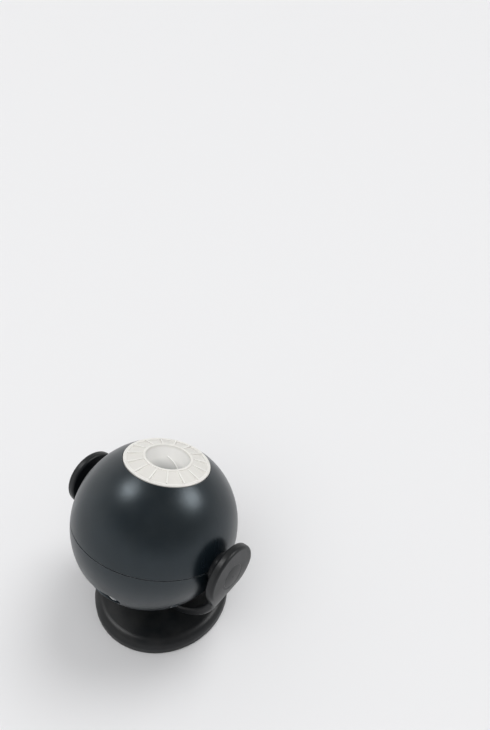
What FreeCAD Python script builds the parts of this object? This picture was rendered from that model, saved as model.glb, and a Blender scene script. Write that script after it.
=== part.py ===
"""Home planetarium projector: a tilting ball with a focus ring, in a forked stand.

Millimetres, +Z up. The origin is the middle of the base, on the plane that the rubber feet stand on.
The ball tilts about the X axis at pivot height. Its own pieces are drawn in the ball's frame: origin
at the ball's centre, +Z along the projection axis, +X along the tilt axis.
"""
import FreeCAD, Part
import math
import os
from types import SimpleNamespace

import Sketcher

os.makedirs("parts", exist_ok=True)

# Driving dimensions: name, value, meaning
DIMENSIONS = [
    # Ball
    ("ball_radius", 75.0, "outside of the ball"),
    ("shell_wall", 2.4, "wall of the two half shells"),
    ("seam_depth", 0.8, "shadow groove where the half shells meet"),
    ("seam_half", 0.5, "half the height of that groove"),
    ("ball_lean", -18.0, "turn of the ball about X at rest, degrees"),
    ("seat_gap", 0.3, "clearance between pieces that only sit near each other"),
    ("run_gap", 0.08, "radial clearance of a running fit"),
    # Focus ring
    ("ring_radius", 38.25, "outer edge of the focus ring"),
    ("ring_rise", 0.8, "outer lip of the ring above the ball round it"),
    ("ring_gap", 0.35, "shadow gap between the ring and the ball"),
    ("mouth_edge", 0.4, "bevel of the ball's edge at that gap"),
    ("lip_width", 3.0, "flat outer lip"),
    ("lip_height", 1.4, "thickness of that lip"),
    ("lip_round", 0.5, "rounded edge of the lip"),
    ("lip_step", 0.5, "drop from the lip to the cone"),
    ("rim_width", 1.1, "flat rim of the cup, where the ribs end"),
    ("cup_rise", 4.0, "rim of the cup above the outer lip"),
    ("rim_step", 0.8, "rim above the cone's inner end"),
    ("rim_round", 0.4, "rounded edges of the rim"),
    ("rib_count", 15.0, "radial grip ribs"),
    ("rib_width", 1.2, "width of a rib"),
    ("rib_rise", 1.4, "outer end of a rib above the lip"),
    ("rib_inset", 2.4, "outer end of a rib inside the ring's edge"),
    ("rib_root", 1.2, "depth of a rib's foot in the cone"),
    ("ring_skin", 2.2, "thickness of the ring under the cone"),
    ("hub_depth", 15.3, "ring's hub below the lip"),
    ("ring_hub_wall", 6.0, "wall of the ring's hub"),
    ("skirt_width", 2.1, "wall of the ring's outer skirt"),
    ("floor_drop", 5.5, "recess floor below the lip"),
    ("floor_thickness", 2.0, "recess floor"),
    ("clip_width", 4.0, "clip ring under the recess floor, radial"),
    ("clip_thickness", 1.2, "clip ring"),
    # Lens
    ("hood_inset", 0.22, "white bowl's collar inside the barrel's outer face"),
    ("hood_wall", 0.9, "wall of the bowl at its rim"),
    ("bowl_depth", 25.0, "bowl from rim to lens opening"),
    ("bowl_taper", 7.7, "bowl's lens opening inside its rim, radial"),
    ("bowl_curve", 70.0, "radius of the bowl's wall in section"),
    ("bowl_edge", 1.2, "wall of the bowl at its mouth"),
    ("barrel_radius", 20.82, "outside of the lens barrel"),
    ("barrel_wall", 2.0, "wall of the barrel"),
    ("barrel_length", 26.0, "length of the barrel"),
    ("barrel_drop", 13.3, "barrel below the bowl's rim"),
    ("lens_travel", 2.5, "focus travel of the barrel each way"),
    ("barrel_seat", 5.0, "depth of the thicker lower end"),
    ("rear_lens_radius", 14.5, "seat of the rear lens"),
    ("front_lens_edge", 2.4, "edge of the front lens"),
    ("rear_lens_edge", 2.2, "edge of the rear lens"),
    ("lens_curve", 60.0, "radius of the lens faces"),
    ("lens_ring_width", 2.6, "clamp ring over the front lens, radial"),
    ("lens_ring_height", 1.6, "clamp ring"),
    ("guide_wall", 3.1, "wall of the barrel's fixed guide"),
    ("guide_height", 12.5, "guide tube above its plate"),
    ("guide_gap", 1.0, "guide tube below the ring's hub"),
    ("guide_plate", 2.5, "plate of the guide"),
    ("guide_plate_radius", 46.0, "rim of that plate"),
    ("leg_radius", 4.0, "legs of the guide"),
    ("leg_circle", 41.0, "where the legs stand"),
    # Chassis and disc drive
    ("chassis_height", 8.0, "underside of the chassis above the ball's centre"),
    ("chassis_thickness", 2.5, "chassis plate"),
    ("chassis_inset", 10.6, "rim of the chassis plate inside the ball's inner wall"),
    ("gear_module", 1.0, "turntable and idler pinion"),
    ("turntable_teeth", 60.0, "teeth round the turntable"),
    ("idler_small_teeth", 12.0, "idler, at the turntable"),
    ("fine_module", 0.8, "motor stage"),
    ("idler_big_teeth", 24.0, "idler, at the motor"),
    ("pinion_teeth", 10.0, "motor pinion"),
    ("motor_bearing", 60.0, "direction from the idler to the motor, degrees"),
    ("backlash", 0.2, "play between teeth"),
    ("turntable_bore", 20.5, "light hole of the turntable"),
    ("bearing_radius", 24.6, "bore of the chassis that the turntable runs in"),
    ("turntable_thickness", 4.2, "toothed rim"),
    ("disc_radius", 24.0, "star disc"),
    ("disc_thickness", 0.6, "star disc"),
    ("disc_clip_height", 1.2, "ring that holds the disc down"),
    ("fine_thickness", 3.0, "motor stage gears"),
    ("axle_radius", 1.5, "idler axle"),
    ("shaft_radius", 1.0, "motor shaft"),
    ("motor_radius", 10.0, "motor can"),
    ("motor_length", 26.0, "motor can"),
    ("bracket_wall", 1.8, "motor bracket"),
    ("bracket_depth", 9.0, "motor bracket"),
    # Lamp
    ("lamp_bore", 18.0, "inside of the condenser holder"),
    ("lamp_wall", 2.5, "wall of the condenser holder"),
    ("lamp_depth", 23.5, "holder below the chassis"),
    ("lamp_flange", 6.0, "flange of the holder, radial"),
    ("condenser_edge", 2.0, "edge of the condenser lens"),
    ("condenser_curve", 24.0, "radius of its domed face"),
    ("condenser_seat", 13.0, "shoulder under the condenser, below the chassis"),
    ("led_board_radius", 14.0, "round lamp board"),
    ("board_thickness", 1.6, "circuit boards"),
    ("led_side", 5.0, "lamp chip"),
    ("led_height", 1.8, "lamp chip"),
    ("sink_radius", 24.0, "heat sink"),
    ("sink_base", 3.0, "heat sink's plate"),
    ("fin_air", 6.5, "air between the heat sink's fins and the battery tray"),
    ("fin_thickness", 1.4, "heat sink's fins"),
    ("fin_pitch", 6.0, "from fin to fin"),
    # Batteries
    ("cell_radius", 7.1, "round cell"),
    ("cell_length", 49.2, "can of a cell"),
    ("cell_nub", 2.75, "radius of the positive nub"),
    ("cell_nub_height", 1.0, "positive nub"),
    ("cell_pitch", 15.6, "from cell to cell"),
    ("cell_lift", 0.9, "cells above the tray's open side"),
    ("contact_thickness", 0.5, "battery contacts"),
    ("contact_side", 10.0, "battery contacts"),
    ("tray_wall", 1.6, "walls of the battery tray"),
    ("battery_radius", 37.0, "opening in the bottom of the ball"),
    ("well_wall", 2.4, "collar round that opening"),
    ("well_rise", 8.5, "collar above the opening's inner edge"),
    ("cover_boss_inset", 4.0, "battery cover's screw inside the opening's edge"),
    # Screws
    ("screw_radius", 1.5, "thread of the small screws"),
    ("screw_head", 3.0, "head radius"),
    ("screw_head_height", 2.0, "head height"),
    ("boss_radius", 4.5, "screw bosses of the shells"),
    ("boss_inset", 9.6, "those bosses inside the ball's inner wall"),
    ("boss_angle", 25.0, "from the tilt axis to a boss, degrees"),
    ("screw_recess", 14.0, "screw heads below the seam"),
    ("screw_bite", 10.0, "thread above the seam"),
    ("post_radius", 4.0, "posts under the chassis"),
    ("post_inset", 5.0, "those posts inside the chassis rim"),
    # Buttons, in a frame turned down from the ball's front
    ("panel_angle", 35.0, "panel below the ball's front, degrees"),
    ("panel_inset", 0.7, "face of the panel below the ball's surface at the window's ends"),
    ("panel_length", 48.0, "panel's window"),
    ("panel_height", 16.0, "panel's window"),
    ("panel_depth", 4.1, "from the panel's face to its flange"),
    ("panel_margin", 3.0, "flange behind the wall"),
    ("panel_flange", 1.5, "flange behind the wall"),
    ("button_radius", 4.5, "push button"),
    ("button_proud", 2.2, "button above the panel"),
    ("button_dome", 0.9, "button's crown"),
    ("button_pitch", 15.0, "from button to button"),
    ("button_flange", 1.3, "button's retaining flange, radial and thick"),
    ("button_travel", 0.8, "how far a button goes in"),
    ("stem_radius", 1.5, "button's stem"),
    ("stem_length", 2.0, "button's stem"),
    ("switch_side", 6.0, "switch under a button"),
    ("switch_height", 3.4, "switch under a button"),
    ("control_edge", 1.8, "control board past its posts"),
    ("control_height", 20.0, "control board"),
    ("control_post", 2.2, "posts that carry the board"),
    ("control_post_gap", 1.0, "between those posts and the button flanges"),
    # Pivots
    ("hub_radius", 13.0, "pivot hub"),
    ("hub_flange", 3.0, "hub's flange inside the shell, radial and thick"),
    ("hub_proud", 4.5, "hub's face outside the ball"),
    ("shoulder_radius", 4.0, "pivot screw's shoulder"),
    ("thread_radius", 2.5, "pivot screw's thread"),
    ("thread_length", 9.0, "pivot screw's thread"),
    ("pivot_head", 7.5, "pivot screw's head"),
    ("pivot_head_height", 2.2, "pivot screw's head"),
    ("washer_radius", 12.0, "friction washer"),
    ("pivot_pad_margin", 1.5, "flat pad of the fork round the washer and the cap"),
    # Stand
    ("fork_gap", 7.0, "from the ball to the fork"),
    ("fork_thickness", 8.0, "fork"),
    ("arm_end_radius", 27.0, "round end of an arm"),
    ("arm_half_width", 19.0, "half the fork's width below the ends"),
    ("arm_shoulder", 9.0, "where the round end starts, below the tilt axis"),
    ("arm_sweep", 30.0, "curve from the round end's taper into the fork's edge"),
    ("fork_round", 2.5, "rounded edges of the fork"),
    ("cap_radius", 11.0, "cap over the pivot screw"),
    ("cap_recess", 4.0, "recess for the screw's head and cap"),
    ("cap_thickness", 1.4, "cap"),
    ("cap_dome", 0.8, "cap's crown"),
    ("foot_radius", 30.0, "round foot of the fork"),
    ("foot_height", 7.0, "round foot of the fork"),
    ("base_radius", 66.0, "base"),
    ("base_wall", 2.6, "base housing"),
    ("base_height", 18.0, "top of the base above the table"),
    ("base_round", 9.0, "rounded shoulder of the base"),
    ("base_slope", 6.0, "slope of the base's top, degrees"),
    ("foot_stand", 2.0, "base's lower edge above the table"),
    ("plate_thickness", 2.4, "base plate"),
    ("ballast_inner", 22.0, "ballast ring"),
    ("ballast_inset", 20.0, "ballast ring inside the base's edge"),
    ("ballast_height", 6.5, "ballast ring"),
    ("pad_radius", 7.0, "rubber foot"),
    ("pad_inset", 14.0, "feet inside the base's edge"),
    ("pad_recess", 1.2, "recess for a foot or a screw's head"),
    ("base_screw_inset", 12.0, "base plate's screws inside the base's edge"),
    ("base_boss_radius", 3.5, "their bosses"),
    ("base_screw_bite", 7.6, "their thread above the base plate"),
    ("yoke_screw_circle", 13.0, "screws into the fork's foot"),
]

doc = FreeCAD.newDocument("planetarium_projector")
sheet = doc.addObject("Spreadsheet::Sheet", "sheet")
nodes = {}


class Size:
    """A length, angle or count: its value, and the sheet expression that gives it."""

    def __init__(self, text, value):
        self.text = text
        self.value = float(value)

    def __add__(self, other):
        other = as_size(other)
        return Size("(%s + %s)" % (self.text, other.text), self.value + other.value)

    def __sub__(self, other):
        other = as_size(other)
        return Size("(%s - %s)" % (self.text, other.text), self.value - other.value)

    def __mul__(self, other):
        other = as_size(other)
        return Size("(%s * %s)" % (self.text, other.text), self.value * other.value)

    def __truediv__(self, other):
        other = as_size(other)
        return Size("(%s / %s)" % (self.text, other.text), self.value / other.value)

    def __neg__(self):
        return Size("(0 - %s)" % self.text, -self.value)

    def __radd__(self, other):
        return as_size(other) + self

    def __rsub__(self, other):
        return as_size(other) - self

    def __rmul__(self, other):
        return as_size(other) * self


def as_size(number):
    """A Size as it is, or a plain number as one."""
    return number if isinstance(number, Size) else Size("%.6f" % number, number)


def leg_of(hypotenuse, side):
    """The other short side of a right triangle."""
    hypotenuse, side = as_size(hypotenuse), as_size(side)
    text = "sqrt(%s * %s - %s * %s)" % (hypotenuse.text, hypotenuse.text, side.text, side.text)
    return Size(text, math.sqrt(hypotenuse.value ** 2 - side.value ** 2))


def fill_sheet():
    """Write the driving dimensions and return them as named Sizes."""
    named = {}
    for row, (name, value, meaning) in enumerate(DIMENSIONS, start=1):
        sheet.set("A%d" % row, name)
        sheet.set("B%d" % row, str(value))
        sheet.set("C%d" % row, meaning)
        sheet.setAlias("B%d" % row, name)
        named[name] = Size("sheet." + name, value)
    doc.recompute()
    return SimpleNamespace(**named)


d = fill_sheet()

ZERO = as_size(0)
AXES = {"x": "vector(1; 0; 0)", "y": "vector(0; 1; 0)", "z": "vector(0; 0; 1)"}


def place_text(x=ZERO, y=ZERO, z=ZERO, axis="z", angle=ZERO):
    """Expression of a move and a turn."""
    spots = [as_size(value).text for value in (x, y, z)]
    return "placement(vector(%s; %s; %s); rotation(%s; %s))" % (*spots, AXES[axis], as_size(angle).text)


fork_inner = d.ball_radius + d.fork_gap
fork_outer = fork_inner + d.fork_thickness
pivot_height = d.base_height + fork_outer
STAND = place_text()
BALL = place_text(z=pivot_height, axis="x", angle=d.ball_lean)
TO_FRONT = place_text(axis="x", angle=90 + d.panel_angle)
FRONT = BALL + " * " + TO_FRONT
SIDES = {"right": 90, "left": -90}


def polar(circle, bearing):
    """A point on a circle, at a bearing in degrees from +X."""
    bearing = as_size(bearing)
    turn = math.radians(bearing.value)
    across = Size("cos(%s * 1 deg)" % bearing.text, math.cos(turn))
    along = Size("sin(%s * 1 deg)" % bearing.text, math.sin(turn))
    return circle * across, circle * along


def tie(thing, name, size):
    """Bind a property to the sheet."""
    thing.setExpression(name, as_size(size).text)


def keep(thing, label, frame=STAND):
    """Make an object one of the part's named pieces and put it in its frame."""
    thing.Label = label
    thing.setExpression("Placement", frame)
    nodes[label] = thing
    return thing


class Bend:
    """Marks an arc between two points of an outline, with its centre on the left or the right."""

    def __init__(self, radius, left=True):
        self.radius = as_size(radius)
        self.left = left


def arc_between(start, end, bend):
    """The short arc from start to end."""
    chord = end - start
    middle = (start + end) * 0.5
    rise = math.sqrt(max(bend.radius.value ** 2 - (chord.Length / 2) ** 2, 0.0))
    normal = FreeCAD.Vector(-chord.y, chord.x, 0).normalize()
    centre = middle + normal * (rise if bend.left else -rise)
    first, last = (start, end) if bend.left else (end, start)
    angles = [math.atan2(spot.y - centre.y, spot.x - centre.x) for spot in (first, last)]
    circle = Part.Circle(centre, FreeCAD.Vector(0, 0, 1), bend.radius.value)
    return Part.ArcOfCircle(circle, angles[0], angles[1])


def draw(sketch, outline):
    """Draw a closed outline of points and bends, every size tied to the sheet."""
    points = [item for item in outline if not isinstance(item, Bend)]
    spots = [FreeCAD.Vector(as_size(x).value, as_size(y).value, 0) for x, y in points]
    bends = {}
    count = 0
    for item in outline:
        if isinstance(item, Bend):
            bends[count - 1] = item
        else:
            count += 1
    ends = []
    for number, start in enumerate(spots):
        end = spots[(number + 1) % count]
        bend = bends.get(number)
        shape = arc_between(start, end, bend) if bend else Part.LineSegment(start, end)
        edge = sketch.addGeometry(shape, False)
        ends.append((edge, 1, 2) if not bend or bend.left else (edge, 2, 1))
    for number in range(count):
        edge, first, last = ends[number]
        following = ends[(number + 1) % count]
        sketch.addConstraint(Sketcher.Constraint("Coincident", edge, last, following[0], following[1]))
    for number, (x, y) in enumerate(points):
        edge, first, last = ends[number]
        for kind, size in (("DistanceX", as_size(x)), ("DistanceY", as_size(y))):
            rule = Sketcher.Constraint(kind, -1, 1, edge, first, size.value)
            index = sketch.addConstraint(rule)
            sketch.setExpression("Constraints[%d]" % index, size.text)
    for number, bend in bends.items():
        rule = Sketcher.Constraint("Radius", ends[number][0], bend.radius.value)
        index = sketch.addConstraint(rule)
        sketch.setExpression("Constraints[%d]" % index, bend.radius.text)


def new_body(name):
    """An empty body."""
    return doc.addObject("PartDesign::Body", name)


def sketch_on(body, role, outlines, lift=None):
    """A sketch on one of the body's own planes."""
    plane = [item for item in body.Origin.OriginFeatures if item.Role == role][0]
    sketch = body.newObject("Sketcher::SketchObject", body.Name + "_sketch")
    sketch.AttachmentSupport = [(plane, "")]
    sketch.MapMode = "FlatFace"
    if lift is not None:
        tie(sketch, "AttachmentOffset.Base.z", lift)
    for outline in outlines:
        draw(sketch, outline)
    return sketch


def revolve(name, outline):
    """A body turned about its Z axis from an outline of (radius, height) points."""
    body = new_body(name)
    turn = body.newObject("PartDesign::Revolution", name + "_turn")
    turn.Profile = sketch_on(body, "XZ_Plane", [outline])
    turn.ReferenceAxis = (turn.Profile[0], ["V_Axis"])
    turn.Angle = 360
    return body


def pad(body, role, outlines, length, lift=None, middle=False):
    """Add material to a body."""
    feature = body.newObject("PartDesign::Pad", body.Name + "_pad")
    feature.Profile = sketch_on(body, role, outlines, lift)
    feature.SideType = "Symmetric" if middle else "One side"
    tie(feature, "Length", length)
    return feature


def rod(radius, height, x=ZERO, y=ZERO, z=ZERO, axis="z"):
    """A cylinder from (x, y, z) along +X, +Y or +Z."""
    thing = doc.addObject("Part::Cylinder", "rod")
    tie(thing, "Radius", radius)
    tie(thing, "Height", height)
    turn = {"x": ("y", 90), "y": ("x", -90), "z": ("z", 0)}[axis]
    thing.setExpression("Placement", place_text(x, y, z, turn[0], turn[1]))
    return thing


def block(length, width, height, x=ZERO, y=ZERO, z=ZERO):
    """A box centred on x and y that stands on z."""
    thing = doc.addObject("Part::Box", "block")
    tie(thing, "Length", length)
    tie(thing, "Width", width)
    tie(thing, "Height", height)
    thing.setExpression("Placement", place_text(x - as_size(length) / 2, y - as_size(width) / 2, z))
    return thing


def ball(radius):
    """A sphere about the frame's origin."""
    thing = doc.addObject("Part::Sphere", "ball")
    tie(thing, "Radius", radius)
    return thing


def fuse(*things):
    """Several pieces of one solid."""
    joined = doc.addObject("Part::MultiFuse", "joined")
    joined.Shapes = list(things)
    return joined


def group(*things):
    """Separate solids that share a node."""
    gathered = doc.addObject("Part::Compound", "gathered")
    gathered.Links = list(things)
    return gathered


def cut(base, *tools):
    """Take the tools away from the base."""
    result = doc.addObject("Part::Cut", "carved")
    result.Base = base
    result.Tool = tools[0] if len(tools) == 1 else fuse(*tools)
    return result


def overlap(first, second):
    """What two pieces share."""
    result = doc.addObject("Part::Common", "shared")
    result.Base = first
    result.Tool = second
    return result


def ring(name, inner, outer, low, high):
    """A flat ring."""
    return revolve(name, [(inner, low), (outer, low), (outer, high), (inner, high)])


def screw(head_z, length, x, y):
    """A small screw that points up, its head below head_z."""
    head = rod(d.screw_head, d.screw_head_height, x, y, head_z - d.screw_head_height)
    return fuse(head, rod(d.screw_radius, length, x, y, head_z))


def slot_outline(length, height):
    """A rectangle with round ends, drawn about the origin."""
    half, radius = length / 2 - height / 2, height / 2
    return [
        (-half, -radius), (half, -radius), Bend(radius), (half + radius, ZERO), Bend(radius),
        (half, radius), (-half, radius), Bend(radius), (-half - radius, ZERO), Bend(radius),
    ]


# Heights and radii that several pieces share
inner_radius = d.ball_radius - d.shell_wall
hub_bore = d.barrel_radius + d.run_gap
ring_height = leg_of(d.ball_radius, d.ring_radius) + d.ring_rise
ring_hub_radius = hub_bore + d.ring_hub_wall
ring_hub_low = ring_height - d.hub_depth
cup_radius = hub_bore + d.rim_width
cup_height = ring_height + d.cup_rise
floor_top = ring_height - d.floor_drop
floor_low = floor_top - d.floor_thickness
hood_radius = d.barrel_radius - d.hood_inset
rim_seat = cup_height - d.rim_step
barrel_top = cup_height - d.barrel_drop
barrel_low = barrel_top - d.barrel_length
barrel_bore = d.barrel_radius - d.barrel_wall
front_seat = barrel_low + d.barrel_seat
guide_top = ring_hub_low - d.guide_gap
guide_low = guide_top - d.guide_height - d.guide_plate
chassis_top = d.chassis_height + d.chassis_thickness
chassis_radius = inner_radius - d.chassis_inset
rim_low = chassis_top + d.seat_gap
rim_top = rim_low + d.turntable_thickness
disc_top = rim_top + d.disc_thickness
disc_clip_top = disc_top + d.disc_clip_height
fine_low = disc_clip_top + d.seat_gap
fine_top = fine_low + d.fine_thickness
idler_spot = (ZERO, d.gear_module * (d.turntable_teeth + d.idler_small_teeth) / 2)
motor_reach = polar(d.fine_module * (d.idler_big_teeth + d.pinion_teeth) / 2, d.motor_bearing)
motor_spot = (idler_spot[0] + motor_reach[0], idler_spot[1] + motor_reach[1])
sink_top = d.chassis_height - d.lamp_depth
screw_hole = d.screw_radius + d.run_gap
boss_circle = inner_radius - d.boss_inset
boss_spots = [polar(boss_circle * side, d.boss_angle * sign) for side in (1, -1) for sign in (1, -1)]
post_spots = [polar(chassis_radius - d.post_inset, bearing) for bearing in (45, 135, 225, 315)]
cover_boss_circle = d.battery_radius - d.cover_boss_inset
cover_boss_spot = (ZERO, cover_boss_circle)
well_low = -leg_of(inner_radius, d.battery_radius)
well_top = well_low + d.well_rise
cell_axis = well_top + d.cell_lift + d.cell_radius
tray_top = cell_axis + d.cell_radius + d.seat_gap
panel_face = leg_of(d.ball_radius, d.panel_length / 2) - d.panel_inset
switch_face = panel_face - d.panel_depth - d.panel_flange
board_face = switch_face - d.button_flange - d.stem_length - d.button_travel - d.switch_height - d.seat_gap
control_post_x = d.button_pitch + d.button_radius + d.button_flange + d.control_post_gap + d.control_post
hub_face = d.ball_radius + d.hub_proud
pivot_pad_radius = d.washer_radius + d.pivot_pad_margin
pivot_pad_face = leg_of(fork_inner, pivot_pad_radius)


def half_shell(name, side, mouth):
    """Half of the ball's skin, with the shadow groove at its seam. side is 1 above and -1 below."""
    groove = d.ball_radius - d.seam_depth
    seam = side * d.seam_half
    outward = side > 0
    return revolve(name, [
        (inner_radius, ZERO), (groove, ZERO), (groove, seam), (leg_of(d.ball_radius, d.seam_half), seam),
        Bend(d.ball_radius, outward), *mouth, Bend(inner_radius, not outward),
    ])


def window():
    """The opening for the button panel."""
    body = new_body("window")
    outline = slot_outline(d.panel_length, d.panel_height)
    pad(body, "XY_Plane", [outline], d.ball_radius - inner_radius + d.panel_depth * 2,
        lift=inner_radius - d.panel_depth * 2)
    body.setExpression("Placement", TO_FRONT)
    return body


def pillars(spots, radius, low, high):
    """Screw pillars, cut off inside the ball's wall."""
    shafts = [rod(radius, high - low, x, y, low) for x, y in spots]
    return overlap(fuse(*shafts), ball(d.ball_radius - d.shell_wall / 2))


def pivot_bore():
    """The hole across the ball that both hubs sit in."""
    return rod(d.hub_radius + d.seat_gap, hub_face * 2, x=-hub_face, axis="x")


def make_upper_shell():
    """Upper half of the ball, with the recess that the focus ring turns in."""
    bore = d.ring_radius + d.ring_gap
    wall = bore + d.shell_wall
    hole = ring_hub_radius + d.run_gap
    edge = bore + d.mouth_edge
    skin = half_shell("upper_skin", 1, [
        (edge, leg_of(d.ball_radius, edge)), (bore, leg_of(d.ball_radius, bore) - d.mouth_edge),
        (bore, floor_top), (hole, floor_top), (hole, floor_low), (wall, floor_low),
        (wall, leg_of(inner_radius, wall)),
    ])
    bosses = pillars(boss_spots, d.boss_radius, ZERO, d.ball_radius)
    holes = [rod(screw_hole, d.screw_bite + d.seat_gap, x, y) for x, y in boss_spots]
    keep(cut(fuse(skin, bosses), pivot_bore(), *holes), "upper_shell", BALL)


def make_lower_shell():
    """Lower half of the ball: screw bosses, chassis posts, button window and battery well."""
    well = d.battery_radius + d.well_wall
    skin = half_shell("lower_skin", -1, [
        (d.battery_radius, -leg_of(d.ball_radius, d.battery_radius)), (d.battery_radius, well_top),
        (well, well_top), (well, -leg_of(inner_radius, well)),
    ])
    bosses = pillars(boss_spots, d.boss_radius, -d.ball_radius, ZERO)
    posts = pillars(post_spots, d.post_radius, -d.ball_radius, d.chassis_height)
    x, y = cover_boss_spot
    cover_boss = rod(d.cover_boss_inset + d.seam_half, d.well_rise, x, y, well_low)
    holes = [rod(screw_hole, d.well_rise, x, y, well_low)]
    for x, y in boss_spots:
        holes.append(rod(screw_hole, d.screw_recess, x, y, -d.screw_recess))
        holes.append(rod(d.screw_head + d.seat_gap, d.ball_radius, x, y, -d.ball_radius - d.screw_recess))
    holes += [rod(screw_hole, d.screw_bite, x, y, d.chassis_height - d.screw_bite) for x, y in post_spots]
    solid = fuse(skin, bosses, posts, cover_boss)
    keep(cut(solid, pivot_bore(), window(), *holes), "lower_shell", BALL)


def make_shell_screws():
    """Four screws that hold the half shells together."""
    length = d.screw_recess + d.screw_bite
    screws = [screw(-d.screw_recess, length, x, y) for x, y in boss_spots]
    keep(group(*screws), "shell_screws", BALL)


def make_focus_ring():
    """White focus ring: flat lip, shallow cone with raised radial ribs, hub and skirt."""
    cone_out = d.ring_radius - d.lip_width
    cone_low = ring_height - d.lip_step
    skirt_out = cone_out + d.lip_width / 2
    skirt_in = skirt_out - d.skirt_width
    skirt_low = floor_top + d.seat_gap
    body = revolve("focus_ring_body", [
        (hub_bore, ring_hub_low), (ring_hub_radius, ring_hub_low),
        (ring_hub_radius, rim_seat - d.ring_skin * 2), (skirt_in, cone_low - d.ring_skin),
        (skirt_in, skirt_low), (skirt_out, skirt_low), (skirt_out, ring_height - d.lip_height),
        (d.ring_radius, ring_height - d.lip_height), (d.ring_radius, ring_height - d.lip_round),
        Bend(d.lip_round), (d.ring_radius - d.lip_round, ring_height),
        (cone_out, ring_height), (cone_out, cone_low), (cup_radius, rim_seat), (hub_bore, rim_seat),
    ])
    rib_out = d.ring_radius - d.rib_inset
    rib_top = ring_height + d.rib_rise
    rib = pad(body, "XZ_Plane", [[
        (cup_radius, rim_seat - d.rib_root), (rib_out, ring_height - d.rib_root),
        (rib_out, rib_top - d.lip_round), (rib_out - d.lip_round, rib_top),
        (cup_radius, cup_height - d.rim_round),
    ]], d.rib_width, middle=True)
    ribs = body.newObject("PartDesign::PolarPattern", "ribs")
    ribs.Originals = [rib]
    ribs.Axis = ([item for item in body.Origin.OriginFeatures if item.Role == "Z_Axis"][0], [""])
    ribs.Angle = 360
    tie(ribs, "Occurrences", d.rib_count)
    body.Tip = ribs
    keep(body, "focus_ring", BALL)


def make_focus_ring_clip():
    """Clip ring that keeps the focus ring from lifting out."""
    high = floor_low - d.seat_gap
    outer = ring_hub_radius + d.clip_width
    keep(ring("clip", ring_hub_radius, outer, high - d.clip_thickness, high), "focus_ring_clip", BALL)


def make_lens_hood():
    """White bowl over the lens: a round rim that sits on the ring, a collar and a deep curved funnel."""
    rim_in = hood_radius - d.hood_wall
    collar_low = barrel_top + d.lens_travel + d.seat_gap
    mouth_low = cup_height - d.bowl_depth
    mouth = rim_in - d.bowl_taper
    keep(revolve("hood", [
        (hood_radius, collar_low), (hood_radius, rim_seat), (cup_radius, rim_seat),
        (cup_radius, cup_height - d.rim_round), Bend(d.rim_round), (cup_radius - d.rim_round, cup_height),
        (rim_in + d.rim_round, cup_height), Bend(d.rim_round), (rim_in, cup_height - d.rim_round),
        Bend(d.bowl_curve, False), (mouth, mouth_low), (mouth + d.bowl_edge, mouth_low),
        Bend(d.bowl_curve), (barrel_bore - d.seat_gap, collar_low),
    ]), "lens_hood", BALL)


def make_lens_barrel():
    """Sliding tube: front lens on its inner shoulder, rear lens in a counterbore from below."""
    ledge = front_seat - d.barrel_seat / 3
    stop = d.rear_lens_radius - d.barrel_wall
    keep(revolve("barrel", [
        (d.rear_lens_radius, barrel_low), (d.barrel_radius, barrel_low), (d.barrel_radius, barrel_top),
        (barrel_bore, barrel_top), (barrel_bore, front_seat), (stop, front_seat), (stop, ledge),
        (d.rear_lens_radius, ledge),
    ]), "lens_barrel", BALL)


def make_lenses():
    """Front and rear lenses, each flat on one face, and the ring that clamps the front one."""
    rim = barrel_bore - d.run_gap
    clear = barrel_bore - d.lens_ring_width
    edge = front_seat + d.front_lens_edge
    crown = d.lens_curve - leg_of(d.lens_curve, clear)
    keep(revolve("front_glass", [
        (ZERO, front_seat), (rim, front_seat), (rim, edge), (clear, edge), Bend(d.lens_curve),
        (ZERO, edge + crown),
    ]), "front_lens", BALL)
    keep(ring("clamp", clear, rim, edge, edge + d.lens_ring_height), "lens_clamp_ring", BALL)
    seat = front_seat - d.barrel_seat / 3
    low = seat - d.rear_lens_edge
    stop = d.rear_lens_radius - d.barrel_wall
    belly = d.lens_curve - leg_of(d.lens_curve, stop)
    back = d.rear_lens_radius - d.run_gap
    keep(revolve("rear_glass", [
        (ZERO, low - belly), Bend(d.lens_curve), (stop, low), (back, low), (back, seat), (ZERO, seat),
    ]), "rear_lens", BALL)


def make_lens_mount():
    """Fixed guide of the lens barrel: a tube on a plate with three legs that span the gears."""
    wall = hub_bore + d.guide_wall
    plate_top = guide_low + d.guide_plate
    tube = revolve("guide", [
        (hub_bore, guide_low), (d.guide_plate_radius, guide_low), (d.guide_plate_radius, plate_top),
        (wall, plate_top), (wall, guide_top), (hub_bore, guide_top),
    ])
    spots = [polar(d.leg_circle, bearing) for bearing in (30, 150, 270)]
    legs = [rod(d.leg_radius, guide_low - chassis_top, x, y, chassis_top) for x, y in spots]
    toes = [rod(d.leg_radius * 1.5, d.guide_plate, x, y, chassis_top) for x, y in spots]
    keep(fuse(tube, *legs, *toes), "lens_mount", BALL)


def make_chassis():
    """Round plate that carries the optics and the disc drive, and its four screws."""
    plate = rod(chassis_radius, d.chassis_thickness, z=d.chassis_height)
    tall = d.chassis_thickness * 2
    low = d.chassis_height - d.chassis_thickness / 2
    holes = [rod(d.boss_radius + d.seat_gap, tall, x, y, low) for x, y in boss_spots]
    holes += [rod(screw_hole, tall, x, y, low) for x, y in post_spots]
    holes.append(rod(d.bearing_radius, tall, z=low))
    holes.append(rod(d.axle_radius, tall, *idler_spot, low))
    holes.append(rod(d.shaft_radius * 2, tall, *motor_spot, low))
    keep(cut(plate, *holes), "chassis_plate", BALL)
    screws = []
    for x, y in post_spots:
        head = rod(d.screw_head, d.screw_head_height, x, y, chassis_top)
        shank = rod(d.screw_radius, d.screw_bite, x, y, chassis_top - d.screw_bite)
        screws.append(fuse(head, shank))
    keep(group(*screws), "chassis_screws", BALL)


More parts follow.
